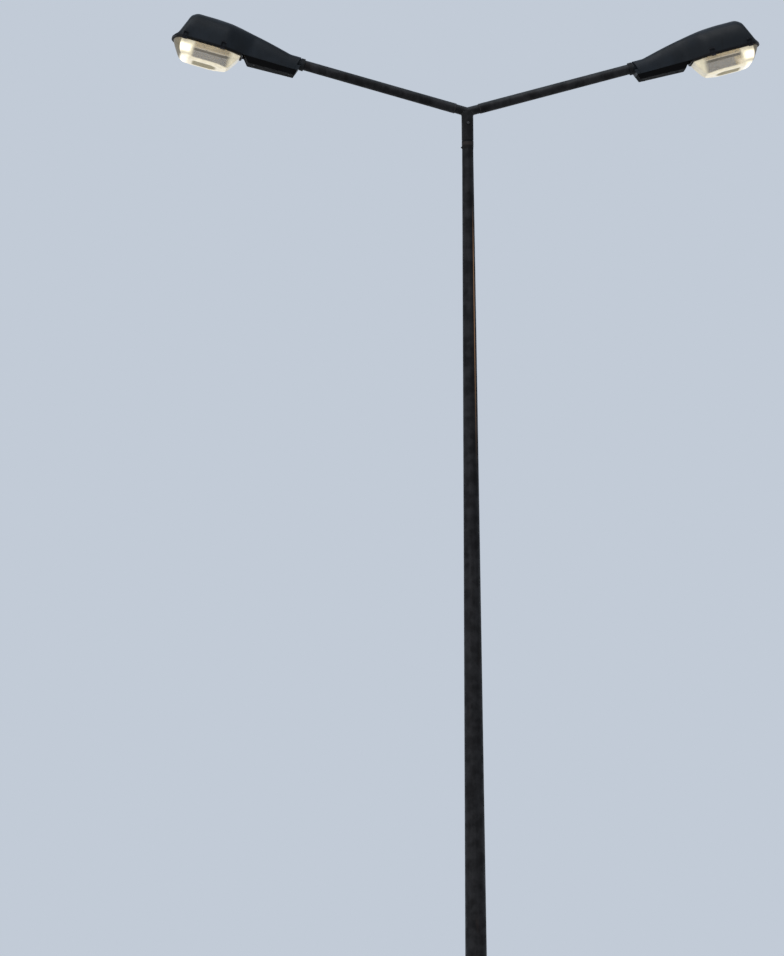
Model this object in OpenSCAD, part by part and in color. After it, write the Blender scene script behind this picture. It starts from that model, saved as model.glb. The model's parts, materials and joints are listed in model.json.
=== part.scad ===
// Twin-arm street lighting column: a conical steel shaft on a bolted base flange, a two-way
// bracket at its top, and a road luminaire with a clear bowl at the end of each arm.
// +Z is up, the arms run along X, and the origin is the centre of the base flange's underside.
// Each luminaire has its own directions: s runs outward along the arm from the luminaire's
// rear end, t runs across it, and u runs up from the arm's axis.

/* [Column] */
// Height of the shaft's top end above the flange's underside
shaft_top_z = 9423; // [6000:1:12000]
// Outer diameter of the shaft at its foot
shaft_base_d = 182; // [150:1:260]
// Outer diameter of the shaft at its top end
shaft_top_d = 66; // [62:0.5:90]
// Wall thickness of the shaft
shaft_wall = 3; // [2.5:0.1:3.2]
// Height of the weld between the shaft's lower and upper sections
shaft_weld_z = 1600; // [1200:10:2400]

/* [Base flange] */
// Side length of the square base flange
flange_w = 400; // [340:5:500]
// Thickness of the base flange
flange_t = 20; // [12:1:40]
// Corner radius of the base flange
flange_corner_r = 25; // [5:1:60]
// Spacing of the anchor bolt holes, along both sides
bolt_spacing = 300; // [240:5:320]
// Diameter of an anchor bolt hole
bolt_hole_d = 28; // [18:1:40]
// Diameter of the cable hole in the middle
cable_hole_d = 120; // [60:1:140]
// Leg length of the weld round the shaft's foot
foot_weld = 8; // [3:0.5:12]

/* [Service door] */
// Height of the door opening's lower edge
door_z = 600; // [400:5:1000]
// Height of the door opening
door_h = 400; // [250:5:600]
// Width of the door opening
door_w = 90; // [60:1:110]
// Corner radius of the door opening
door_corner_r = 14; // [8:1:25]
// Gap between the door and the edge of its opening
door_gap = 1.5; // [0.5:0.1:3]
// Width of the frame's lip behind the door's edge
door_lip = 10; // [6:1:14]
// Thickness of the frame welded behind the opening
door_frame_t = 5; // [3:0.5:8]
// How far that frame reaches past the opening, behind the shaft's wall
door_frame_out = 18; // [14:1:24]
// Diameter of a door lock's head
lock_d = 22; // [16:1:30]
// Diameter round the triangular key of a lock
lock_key = 9; // [6:0.5:11]
// Distance of a lock from the door opening's end
lock_in = 45; // [30:1:80]

/* [Shaft top] */
// Height of the collar round the shaft's top end
collar_h = 47; // [30:1:80]
// Outer diameter of the collar
collar_d = 70; // [68:0.5:100]
// Height of the collar's straight upper part
collar_band_h = 22; // [8:1:28]
// Outer diameter of the spigot that carries the bracket
spigot_d = 58; // [50:0.5:58]
// Wall thickness of the spigot
spigot_wall = 4; // [3:0.5:6]
// Length of the spigot inside the shaft
spigot_below = 200; // [100:5:400]

/* [Bracket] */
// Distance from the shaft's top end up to where the arm axes cross
crossing_h = 177; // [140:1:260]
// Outer diameter of the sleeve over the spigot
sleeve_d = 70; // [68:0.5:90]
// Running clearance between the sleeve and the spigot
sleeve_gap = 0.3; // [0.2:0.05:1]
// Height of the narrow groove where the sleeve meets the collar
groove_h = 6; // [1:0.5:8]
// Depth of that groove
groove_deep = 2.2; // [0.5:0.1:2.5]
// Outer diameter of the short bent tube that joins the arms
stub_d = 54; // [48:0.5:56]
// Wall thickness of that bent tube
stub_wall = 4; // [3:0.5:6]
// Distance from the crossing to an arm's inner end
stub_show = 78; // [60:1:140]
// Length of the stub inside the arm
stub_inside = 110; // [60:5:200]
// Distance of the sleeve's clamp screws below the crossing
sleeve_screw_drop = 72; // [55:1:110]
// Thread diameter of the clamp screws
screw_d = 10; // [8:1:12]

/* [Arms] */
// Upward tilt of the arms, degrees
arm_tilt = 15.6; // [5:0.1:25]
// Distance along an arm from the crossing to its luminaire's rear end
arm_reach = 1022; // [600:1:1500]
// Outer diameter of an arm
arm_d = 60.3; // [58.5:0.1:61]
// Clearance between the stub and the arm's bore
arm_gap = 0.3; // [0.1:0.05:0.5]
// Length of an arm inside its luminaire
arm_inside = 100; // [60:5:140]
// Length of the weld bead at an arm's inner end
arm_bead = 4; // [2:0.5:6]

/* [Luminaire housing] */
// Length of the luminaire's housing, rear end to tip
body_len = 774; // [700:1:900]
// Half width of the narrow rear part
neck_half_w = 56; // [50:1:70]
// Half width of the wide front part
front_half_w = 125; // [100:1:170]
// Where the housing starts to widen
flare_start = 300; // [250:1:330]
// Where the housing reaches its full width
flare_end = 470; // [440:1:520]
// Height of the crown at the rear end, above the arm's axis
rear_crown = 37.5; // [37:0.5:50]
// Height of the crown at its highest, above the arm's axis
top_crown = 116; // [90:1:150]
// Depth of the housing's lower edge, below the arm's axis
rim_drop = 51; // [44:1:70]
// Where the crown starts to rise
rise_start = 75; // [60:1:110]
// Where the crown reaches its highest
rise_end = 575; // [520:1:610]
// Length of the front over which the crown rounds over
nose_len = 119; // [105:1:130]
// Length of the elliptic front end in plan
nose_round = 60; // [45:1:75]
// Length of the low skirt at the foot of the front wall
skirt_len = 26; // [15:1:35]
// Height of the skirt above the housing's lower edge, where the front wall meets it
skirt_h = 22; // [15:1:45]
// Wall thickness of the housing
housing_wall = 2.5; // [2:0.1:3]
// How far the rear face leans outward from its top to its lower edge
rear_lean = 26; // [10:1:40]
// Height of the rear casting's boss, above the housing's lower edge
boss_h = 32; // [22:1:45]

/* [Gear cover] */
// Where the cover's front wall meets the housing
cover_front = 336; // [320:1:345]
// How far the cover's front wall leans back
cover_lean = 30; // [10:1:50]
// Where the cover's rear wall meets the rear casting
cover_rear = 15; // [12:1:24]
// How far the cover's rear wall leans in towards its foot
cover_rear_lean = 11; // [0:1:16]
// Depth of the cover at its rear end, below the housing's edge
cover_rear_drop = 32; // [15:1:50]
// Depth of the cover at its front end, below the housing's edge
cover_front_drop = 39; // [15:1:60]
// How far the cover stands in from the housing's side
cover_inset = 3; // [1:0.5:8]

/* [Bowl] */
// Depth of the bowl below its frame
bowl_depth = 102; // [60:1:130]
// Wall thickness of the bowl
bowl_wall = 3; // [2:0.5:4]
// Where the bowl's frame starts
frame_rear = 346; // [342:1:360]
// Height of the bowl's frame
frame_h = 11; // [8:0.5:16]
// Width of the frame's lip under the bowl's flange
frame_lip = 12; // [8:0.5:16]
// Wall thickness of the frame
frame_wall = 3; // [2:0.5:4]
// Clearance between the closed frame and the housing's edge
frame_gap = 1; // [0.5:0.1:2]
// How far the frame stands out past the housing's edge
frame_out = 3; // [2:0.5:6]
// Thickness of the rubber seal on the bowl's flange
seal_t = 4; // [2:0.5:5]
// Radius of the frame's rear corners
frame_corner_r = 24; // [18:1:32]
// How far the bowl stands clear of the opening in its frame
bowl_play = 2.5; // [2:0.1:4]

/* [Clips and hinge] */
// Distance of the front clips behind the housing's tip
front_clip_in = 68; // [60:1:95]
// Distance from the front clips back to the middle ones
clip_spacing = 232; // [200:1:234]
// Width of a clip
clip_w = 28; // [18:1:32]
// Thickness of a clip's strap
clip_t = 2; // [1.5:0.1:3]
// Height that a clip reaches up the housing's side
clip_up = 27; // [22:1:40]
// Radius of the bulge in a latch clip
clip_bulge = 8; // [6:0.5:9]
// Width of the window in a latch clip
clip_window = 15; // [6:1:16]
// Length of a latch clip's finger tab
clip_tab = 9; // [5:1:14]
// Diameter of a hinge pin
pin_d = 5; // [4:0.5:6]
// Distance of the hinge pins outside the frame
pin_out = 8; // [7:0.5:12]
// Clearance round a hinge pin
pin_gap = 0.1; // [0.05:0.01:0.2]

/* [Lamp and reflector] */
// Height of the reflector's roof above the arm's axis
reflector_roof = 62; // [40:1:80]
// Half width of the reflector's hood at its mouth
reflector_half_w = 88; // [70:1:100]
// Length over which the hood's ends and sides lean in
reflector_lean = 38; // [20:1:45]
// Thickness of the reflector's sheet
reflector_t = 1.5; // [1:0.1:3]
// Diameter of the lamp's glass tube
lamp_d = 46; // [38:1:60]
// Length of the lamp's glass tube
lamp_len = 190; // [120:1:220]
// Where the lamp's glass tube starts
lamp_start = 500; // [490:1:520]
// Height of the lamp's axis relative to the arm's axis
lamp_u = -6; // [-15:1:10]
// Diameter of the lampholder
holder_d = 56; // [48:1:64]
// Length of the lampholder
holder_len = 70; // [50:1:80]

/* [Hidden] */

$fn = 64;
eps = 0.01;
fit_gap = 0.3;
slip_gap = 0.2;
crossing_z = shaft_top_z + crossing_h;
shaft_len = shaft_top_z - flange_t;
stub_bore_d = stub_d - 2 * stub_wall;
arm_bore_d = stub_d + 2 * arm_gap;
spigot_bore_d = spigot_d - 2 * spigot_wall;
sleeve_bore_d = spigot_d + 2 * sleeve_gap;
rim_u = -rim_drop;
rise = top_crown - rear_crown;
front_clip_s = body_len - front_clip_in;
mid_clip_s = front_clip_s - clip_spacing;
galvanised = [0.30, 0.29, 0.28];
slate = [0.17, 0.18, 0.20];
bright_steel = [0.72, 0.72, 0.70];

// Outer radius of the shaft at a height
function shaft_r(z) = (shaft_base_d + (shaft_top_d - shaft_base_d) * (z - flange_t) / shaft_len) / 2;

// A solid cone that follows the shaft, set in or out by a distance
module shaft_cone(z_low, z_high, out) {
    translate([0, 0, z_low])
        cylinder(h = z_high - z_low, r1 = shaft_r(z_low) + out, r2 = shaft_r(z_high) + out, $fn = 96);
}

// A rectangle with round corners, from its low corner
module round_rect(w, h, r) {
    translate([r, 0]) square([w - 2 * r, h]);
    translate([0, r]) square([w, h - 2 * r]);
    for (x = [r, w - r], y = [r, h - r]) translate([x, y]) circle(r = r);
}

// The door opening's outline as a block through the shaft's front, grown by a distance
module door_block(grow) {
    translate([-door_w / 2 - grow, 0, door_z - grow])
        rotate([90, 0, 0])
            linear_extrude(shaft_base_d)
                round_rect(door_w + 2 * grow, door_h + 2 * grow, door_corner_r + grow);
}

// Column

module base_flange() {
    color(galvanised) {
        difference() {
            translate([-flange_w / 2, -flange_w / 2, 0])
                linear_extrude(flange_t) round_rect(flange_w, flange_w, flange_corner_r);
            for (x = [-1, 1], y = [-1, 1])
                translate([x * bolt_spacing / 2, y * bolt_spacing / 2, -1])
                    cylinder(h = flange_t + 2, d = bolt_hole_d);
            translate([0, 0, -1]) cylinder(h = flange_t + 2, d = cable_hole_d);
        }
        difference() {
            translate([0, 0, flange_t])
                cylinder(h = foot_weld, r1 = shaft_base_d / 2 + foot_weld, r2 = shaft_base_d / 2 + 0.5);
            shaft_cone(flange_t - 1, flange_t + foot_weld + 1, 0);
        }
    }
}

module shaft_section(z_low, z_high) {
    difference() {
        shaft_cone(z_low, z_high, 0);
        shaft_cone(z_low - 1, z_high + 1, -shaft_wall);
    }
}

module lower_shaft() {
    color(galvanised) difference() {
        shaft_section(flange_t, shaft_weld_z);
        door_block(0);
    }
}

module upper_shaft() {
    color(galvanised) shaft_section(shaft_weld_z, shaft_top_z);
}

// A curved wall round the door opening, between two distances from the shaft's face
module door_wall(outer, inner) {
    margin = 2 * door_frame_out;
    low = door_z - margin;
    high = door_z + door_h + margin;
    difference() {
        shaft_cone(low, high, outer);
        shaft_cone(low - 1, high + 1, inner);
    }
}

module door_frame() {
    color(galvanised) difference() {
        intersection() {
            door_wall(-shaft_wall - 2 * fit_gap, -shaft_wall - door_frame_t);
            door_block(door_frame_out);
        }
        door_block(-door_lip);
    }
}

// Heights of the two locks on the door
lock_zs = [door_z + lock_in, door_z + door_h - lock_in];

module service_door() {
    color(galvanised) difference() {
        intersection() {
            door_wall(0, -shaft_wall);
            door_block(-door_gap);
        }
        for (z = lock_zs)
            translate([0, 0, z]) rotate([90, 0, 0]) cylinder(h = shaft_base_d, d = lock_d + 2 * slip_gap);
    }
}

// A lock: a round head let into the door, a triangular key in its recess, and a cam behind the lip
module door_lock() {
    proud = 1;
    lock_len = 31;
    recess = 8;
    head_wall = 3;
    cam = [12, lock_d, 4];
    face = shaft_r(door_z) + proud;
    rotate([90, 0, 0]) {
        difference() {
            translate([0, 0, face - lock_len]) cylinder(h = lock_len, d = lock_d);
            translate([0, 0, face - recess]) cylinder(h = recess + 1, d = lock_d - 2 * head_wall);
        }
        translate([0, 0, face - recess - eps]) cylinder(h = recess - 1, d = lock_key, $fn = 3);
        translate([-cam[0] / 2, -cam[1] / 2, face - lock_len - cam[2]]) cube([cam[0], cam[1], cam[2] + eps]);
    }
}

module door_locks() {
    color(bright_steel) for (z = lock_zs) translate([0, 0, z]) door_lock();
}

// Lower end of the collar, and its outer radius at a height on its lower, tapered part
collar_low_z = shaft_top_z - collar_h;
collar_low_r = shaft_r(collar_low_z) + 0.8;
function collar_r(z) = collar_low_r
    + (collar_d / 2 - collar_low_r) * (z - collar_low_z) / (collar_h - collar_band_h);

module shaft_collar() {
    color(galvanised) difference() {
        union() {
            translate([0, 0, shaft_top_z - collar_band_h]) cylinder(h = collar_band_h, d = collar_d);
            translate([0, 0, collar_low_z])
                cylinder(h = collar_h - collar_band_h + eps, r1 = collar_low_r, r2 = collar_d / 2);
        }
        shaft_cone(collar_low_z - 1, shaft_top_z + 1, fit_gap);
    }
}

// A hexagon-socket screw along +X, its head's underside at x = 0
module side_screw(thread, reach, head_h) {
    rotate([0, 90, 0]) difference() {
        union() {
            cylinder(h = head_h, d = thread * 1.6);
            translate([0, 0, -reach]) cylinder(h = reach + eps, d = thread);
        }
        translate([0, 0, head_h - 3]) cylinder(h = 4, d = thread * 0.8, $fn = 6);
    }
}

module collar_screw() {
    z = collar_low_z + 9;
    r = collar_r(z + 5) + fit_gap;
    color(bright_steel) translate([0, 0, z]) mirror([1, 0, 0]) translate([r, 0, 0]) side_screw(6, 0, 5);
}

// The spigot ends a little below the bent tube
spigot_short = 8;
module top_spigot() {
    color(galvanised) difference() {
        translate([0, 0, shaft_top_z - spigot_below])
            cylinder(h = spigot_below + crossing_h - stub_d / 2 - spigot_short, d = spigot_d);
        translate([0, 0, shaft_top_z - spigot_below - 1])
            cylinder(h = spigot_below + crossing_h, d = spigot_bore_d);
    }
}

// Bracket

// Turns the +X arm's own directions into the column's
module along_arm(side) {
    mirror([side < 0 ? 1 : 0, 0, 0]) translate([0, 0, crossing_z]) rotate([0, -arm_tilt, 0]) children();
}

// A round bar along +X in an arm's own directions
module bar(from, to, d) {
    translate([from, 0, 0]) rotate([0, 90, 0]) cylinder(h = to - from, d = d);
}

// Both stubs, mitred where they meet
module bent_bar(d, reach) {
    for (side = [-1, 1]) intersection() {
        along_arm(side) bar(-d, reach, d);
        translate([side < 0 ? -reach - d : 0, -d, crossing_z - d]) cube([reach + d, 2 * d, reach + 2 * d]);
    }
}

module bracket_sleeve() {
    color(galvanised) difference() {
        translate([0, 0, shaft_top_z]) cylinder(h = crossing_h, d = sleeve_d);
        translate([0, 0, shaft_top_z - 1]) cylinder(h = crossing_h + 2, d = sleeve_bore_d);
        difference() {
            translate([0, 0, shaft_top_z - eps]) cylinder(h = groove_h, d = sleeve_d + 2);
            translate([0, 0, shaft_top_z - 1]) cylinder(h = groove_h + 2, d = sleeve_d - 2 * groove_deep);
        }
        bent_bar(stub_d, stub_show);
        translate([0, 0, crossing_z]) cylinder(h = sleeve_d, d = sleeve_d + 2);
        for (side = [-1, 1])
            translate([0, 0, crossing_z - sleeve_screw_drop])
                rotate([side * 90, 0, 0]) cylinder(h = sleeve_d, d = screw_d + 2 * slip_gap);
    }
}

module bracket_screws() {
    reach = (sleeve_d - spigot_d) / 2;
    color(bright_steel) for (side = [-1, 1])
        translate([0, 0, crossing_z - sleeve_screw_drop])
            rotate([0, 0, side * 90]) translate([sleeve_d / 2 + fit_gap, 0, 0]) side_screw(screw_d, reach, 6);
}

module bracket_head() {
    color(galvanised) difference() {
        bent_bar(stub_d, stub_show + stub_inside);
        bent_bar(stub_bore_d, stub_show + stub_inside + 1);
    }
}

module arm(side) {
    bead_start = stub_show - arm_bead;
    color(galvanised) along_arm(side) difference() {
        union() {
            bar(stub_show, arm_reach + arm_inside, arm_d);
            translate([bead_start, 0, 0]) rotate([0, 90, 0])
                cylinder(h = arm_bead + eps, d1 = arm_bore_d + 0.8, d2 = arm_d);
        }
        bar(bead_start - 1, arm_reach + arm_inside + 1, arm_bore_d);
    }
}

// Luminaire

// Turns a luminaire's own directions into the column's
module at_luminaire(side) {
    along_arm(side) translate([arm_reach, 0, 0]) children();
}

// Where the rear casting's boss, the clamp ring before it and the bore for the arm sit. The boss's
// rear face goes on in the line of the gear cover's rear wall.
clamp_len = 22;
clamp_d = 74;
housing_start = 10;
boss_start = cover_rear - boss_h * cover_rear_lean / cover_rear_drop;
clamp_end = boss_start - fit_gap;
clamp_start = clamp_end - clamp_len;
socket_d = 2 * (rear_crown - housing_wall - fit_gap);
socket_bore_d = arm_d + 2 * fit_gap;

// The clamp ring round the arm, split at the far side and drawn together by one screw through its
// two lugs
module arm_clamp(side) {
    lug_t = 8;
    slit = 3;
    lug_out = 12;
    lug_screw_d = 8;
    screw_u = -clamp_d / 2 - 5;
    lug_mid = slit / 2 + lug_t / 2;
    color(slate) at_luminaire(side) rotate([90, 0, 0]) {
        difference() {
            bar(clamp_start, clamp_end, clamp_d);
            bar(clamp_start - 1, clamp_end + 1, arm_d + 2 * slip_gap);
            translate([clamp_start - 1, -slit / 2, -clamp_d]) cube([clamp_len + 2, slit, clamp_d]);
        }
        for (end = [-1, 1]) difference() {
            translate([clamp_start, end * lug_mid - lug_t / 2, -clamp_d / 2 - lug_out])
                cube([clamp_len, lug_t, lug_out + 8]);
            bar(clamp_start - 1, clamp_end + 1, clamp_d - 4);
            translate([clamp_start + clamp_len / 2, 0, screw_u])
                rotate([90, 0, 0]) cylinder(h = 4 * lug_t, d = lug_screw_d + 2 * slip_gap, center = true);
        }
        translate([clamp_start + clamp_len / 2, slit / 2 + lug_t, screw_u])
            rotate([0, 0, 90]) side_screw(lug_screw_d, 2 * lug_t + slit + 7, 6);
    }
}

// Half width at a place along the housing, grown by a distance: narrow neck, flare, wide front, and
// an elliptic front end whose axis is a little longer than the housing, so that its tip is blunt
tip_blunt = 0.8;
nose_from = body_len - nose_round;
nose_axis = nose_round + tip_blunt;
function flare(s) = 0.5 - 0.5 * cos(180 * min(1, max(0, (s - flare_start) / (flare_end - flare_start))));
function plan_w(s, grow) = (neck_half_w + (front_half_w - neck_half_w) * flare(s) + grow)
    * sqrt(max(0, 1 - pow(max(0, s - nose_from) / (nose_axis + grow), 2)));
function half_w(s) = plan_w(s, 0);

// One side of a plan outline that follows the housing's edge from a rear end to the tip
corner_steps = 4;
nose_steps = 9;
flare_step = 18;
function edge_side(rear, grow, r) = concat(
    [for (k = [0 : corner_steps]) let (a = 90 * k / corner_steps)
        [rear + r * (1 - cos(a)), plan_w(rear + r, grow) - r * (1 - sin(a))]],
    [for (s = [rear + r + flare_step : flare_step : flare_end]) [s, plan_w(s, grow)]],
    [for (k = [0 : nose_steps]) let (a = 90 * k / nose_steps)
        [nose_from + (nose_axis + grow) * sin(a), (front_half_w + grow) * cos(a)]]);

// Both sides of such an outline as one closed list of points
function both_sides(side) = concat(side, [for (k = [len(side) - 2 : -1 : 0]) [side[k][0], -side[k][1]]]);

// Height of the crown at a place along the housing: a quarter-sine rise, a flat top, a round brow,
// a steep front wall, and a low skirt that runs out to the tip
brow_s = body_len - 72;
brow_drop = 24;
skirt_s = body_len - skirt_len;
nose_start = body_len - nose_len;
tip_h = 3;
function between(s, s0, s1, u0, u1) = u0 + (u1 - u0) * (s - s0) / (s1 - s0);
function crown(s) =
    s < rise_start ? rear_crown
    : s < rise_end ? rear_crown + rise * sin(90 * (s - rise_start) / (rise_end - rise_start))
    : s < nose_start ? top_crown
    : s < brow_s ? top_crown - brow_drop * (1 - cos(90 * (s - nose_start) / (brow_s - nose_start)))
    : s < skirt_s ? between(s, brow_s, skirt_s, top_crown - brow_drop, rim_u + skirt_h)
    : between(s, skirt_s, body_len, rim_u + skirt_h, rim_u + tip_h);

// A section of the housing: a rounded box from one lower edge over the crown to the other
section_steps = 20;
function section(w, h) = [for (k = [0 : section_steps])
    let (a = 180 * k / section_steps)
    [w * sign(cos(a)) * pow(abs(cos(a)), 0.6), h * pow(abs(sin(a)), 0.6)]];

// Places of the housing's sections, closer together at the front
place_step = 28;
function housing_places() = concat(
    [housing_start, rise_start - 29],
    [for (s = [rise_start : place_step : nose_start - 20]) s],
    [for (back = [nose_len, 100, 84, 72, 62, 51, 39, skirt_len, 20, 14, 9, 5, 2, 0]) body_len - back]);

// One ring of the housing: the first leans back, and the inner ones stand in by the wall
function housing_ring(i, places, inset) =
    let (s = places[i],
        w = half_w(s) - inset, h = crown(s) - rim_u - inset,
        lean = i == 0 ? rear_lean / (rear_crown - rim_u) : 0,
        at = s < brow_s ? s : s - inset)
    [for (p = section(w, max(0.5, h))) [at + lean * (crown(s) - rim_u - p[1]), p[0], rim_u + p[1]]];

module canopy(side) {
    places = housing_places();
    rings = len(places);
    per = section_steps + 1;
    outer = [for (i = [0 : rings - 1]) each housing_ring(i, places, 0)];
    inner = [for (i = [0 : rings - 1]) each housing_ring(i, places, housing_wall)];
    base = rings * per;
    strips = [for (i = [0 : rings - 2], k = [0 : per - 2]) each [
        [i * per + k, (i + 1) * per + k, (i + 1) * per + k + 1],
        [i * per + k, (i + 1) * per + k + 1, i * per + k + 1],
        [base + i * per + k, base + (i + 1) * per + k + 1, base + (i + 1) * per + k],
        [base + i * per + k, base + i * per + k + 1, base + (i + 1) * per + k + 1]]];
    edges = [for (i = [0 : rings - 2]) each [
        [i * per, base + i * per, base + (i + 1) * per],
        [i * per, base + (i + 1) * per, (i + 1) * per],
        [i * per + per - 1, base + (i + 1) * per + per - 1, base + i * per + per - 1],
        [i * per + per - 1, (i + 1) * per + per - 1, base + (i + 1) * per + per - 1]]];
    rear = [for (k = [0 : per - 2]) each [
        [k, k + 1, base + k + 1],
        [k, base + k + 1, base + k]]];
    tip = (rings - 1) * per;
    front = [
        [for (k = [per - 1 : -1 : 0]) tip + k],
        [for (k = [0 : per - 1]) base + tip + k]];
    tip_edge = [
        [tip, base + tip, base + tip + per - 1],
        [tip, base + tip + per - 1, tip + per - 1]];
    color(slate) at_luminaire(side)
        polyhedron(concat(outer, inner), concat(strips, edges, rear, front, tip_edge), convexity = 6);
}

// The casting that closes the housing's rear end: a leaning plate with a boss behind its lower part,
// and a socket through both that holds the arm
plate_t = 6;
module end_casting(side) {
    face = section(neck_half_w - housing_wall - fit_gap, rear_crown - rim_u - housing_wall - fit_gap);
    boss_u = rim_u + boss_h;
    shelf_s = housing_start + rear_lean * (rear_crown - boss_u) / (rear_crown - rim_u);
    color(slate) at_luminaire(side) difference() {
        union() {
            intersection() {
                translate([boss_start - 1, 0, rim_u]) rotate([90, 0, 90])
                    linear_extrude(housing_start + 2 * rear_lean) polygon(face);
                rotate([90, 0, 0]) linear_extrude(2 * neck_half_w, center = true)
                    polygon([
                        [housing_start, rear_crown], [housing_start + plate_t, rear_crown],
                        [housing_start + plate_t + rear_lean, rim_u], [cover_rear, rim_u],
                        [boss_start, boss_u], [shelf_s, boss_u]]);
            }
            bar(boss_start, housing_start + 12 + arm_inside, socket_d);
        }
        bar(boss_start - 1, housing_start + 30 + arm_inside, socket_bore_d);
    }
}

// The cover under the control gear: narrower and lower than the housing, with leaning walls
cover_corner_r = 6;
module gear_cover(side) {
    w_rear = half_w(cover_rear) - cover_inset - cover_corner_r;
    w_front = half_w(cover_front) - cover_inset - cover_corner_r;
    module corner(s, t, u) { translate([s, t, u]) cylinder(h = 1, r = cover_corner_r, $fn = 24); }
    color(slate * 0.6) at_luminaire(side) hull() {
        for (t = [-1, 1]) {
            corner(cover_rear + cover_corner_r, t * w_rear, rim_u - 1);
            corner(cover_front - cover_corner_r, t * w_front, rim_u - 1);
            corner(cover_rear + cover_rear_lean + cover_corner_r, t * (w_rear - 5), rim_u - cover_rear_drop);
            corner(cover_front - cover_lean - cover_corner_r, t * (w_front - 7), rim_u - cover_front_drop);
        }
    }
}

// Plan outline of the bowl's frame, grown by a distance
frame_half_w = front_half_w + frame_out;
module frame_plan(grow) {
    polygon(both_sides(edge_side(frame_rear - grow, frame_out + grow, frame_corner_r + grow)));
}

frame_top = rim_u - frame_gap;
frame_low = frame_top - frame_h;
bowl_flange_t = 3;
bowl_flange_low = frame_low + frame_wall;

module bowl_frame(side) {
    color(slate * 0.5) at_luminaire(side) difference() {
        union() {
            translate([0, 0, frame_low]) linear_extrude(frame_h) frame_plan(0);
            for (s = [mid_clip_s, front_clip_s]) for (end = [-1, 1])
                translate([s + end * (clip_w / 2 + 3) - 2, frame_half_w - 6, hinge_u - 4])
                    cube([4, pin_out + 6, 8]);
            for (s = [mid_clip_s, front_clip_s])
                translate([0, hinge_t, hinge_u]) bar(s - clip_w / 2 - 5, s + clip_w / 2 + 5, pin_d);
        }
        translate([0, 0, bowl_flange_low]) linear_extrude(frame_h) frame_plan(-frame_wall);
        translate([0, 0, frame_low - 1]) linear_extrude(frame_h + 2) frame_plan(-frame_lip);
    }
}

hinge_t = frame_half_w + pin_out;
hinge_u = frame_top - frame_h / 2;

module bowl_seal(side) {
    color([0.08, 0.08, 0.08]) at_luminaire(side) difference() {
        translate([0, 0, bowl_flange_low + bowl_flange_t])
            linear_extrude(seal_t) frame_plan(-frame_wall - 0.5);
        translate([0, 0, bowl_flange_low])
            linear_extrude(seal_t + 20) frame_plan(-frame_lip + 1);
    }
}

// The bowl's levels from its top down. Each has its depth as a share of the bowl's, and how far it
// stands in from the opening of the frame at the rear, at the front and at each side.
bowl_levels = [
    [0.25, 14, 16, 6],
    [0.79, 50, 56, 18],
    [0.93, 66, 76, 27],
    [1, 96, 116, 45]
];

// One level: the opening's outline drawn in, and in once more by the wall for the inside
module bowl_level(u, rear_in, front_in, side_in, inset) {
    mouth = edge_side(frame_rear + frame_lip, frame_out - frame_lip, frame_corner_r - frame_lip);
    s_rear = mouth[0][0];
    s_tip = mouth[len(mouth) - 1][0];
    w = front_half_w + frame_out - frame_lip;
    along = (s_tip - front_in - s_rear - rear_in - 2 * inset) / (s_tip - s_rear);
    across = (w - side_in - inset) / w;
    drawn_in = [for (p = mouth) [s_rear + rear_in + inset + (p[0] - s_rear) * along, p[1] * across]];
    translate([0, 0, u]) linear_extrude(eps * 10) polygon(both_sides(drawn_in));
}

// The bowl's body as a closed form: steep sides, sloping ends, and a folded bottom
module bowl_form(inset, top_u) {
    hull() {
        bowl_level(top_u, bowl_play, bowl_play, bowl_play, inset);
        for (level = bowl_levels)
            bowl_level(frame_low - level[0] * bowl_depth + inset * pow(level[0], 2),
                level[1], level[2], level[3], inset);
    }
}

module bowl(side) {
    color([0.95, 0.93, 0.80, 0.45]) at_luminaire(side) difference() {
        union() {
            bowl_form(0, bowl_flange_low + 1);
            translate([0, 0, bowl_flange_low])
                linear_extrude(bowl_flange_t) frame_plan(-frame_wall - fit_gap);
        }
        bowl_form(bowl_wall, bowl_flange_low + bowl_flange_t + 1);
    }
}

// A fixed clip on the far side: a strap up the housing's side, and an eye round the hinge pin
module hinge_clips(side) {
    strap_in = front_half_w + fit_gap;
    eye_r = pin_d / 2 + 3;
    color(bright_steel) at_luminaire(side)
        for (s = [mid_clip_s, front_clip_s]) translate([s - clip_w / 2, 0, 0])
            rotate([90, 0, 90]) linear_extrude(clip_w) difference() {
                union() {
                    translate([strap_in, rim_u + 0.5]) square([clip_t, clip_up]);
                    polygon([
                        [strap_in, rim_u + 0.5], [hinge_t - 1, rim_u + 0.5], [hinge_t + eye_r, hinge_u],
                        [hinge_t + eye_r - 3, hinge_u + eye_r], [strap_in + clip_t, rim_u + 6],
                        [strap_in, rim_u + 6]]);
                    translate([hinge_t, hinge_u]) circle(r = eye_r);
                }
                translate([hinge_t, hinge_u]) circle(r = pin_d / 2 + pin_gap);
            }
}

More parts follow.
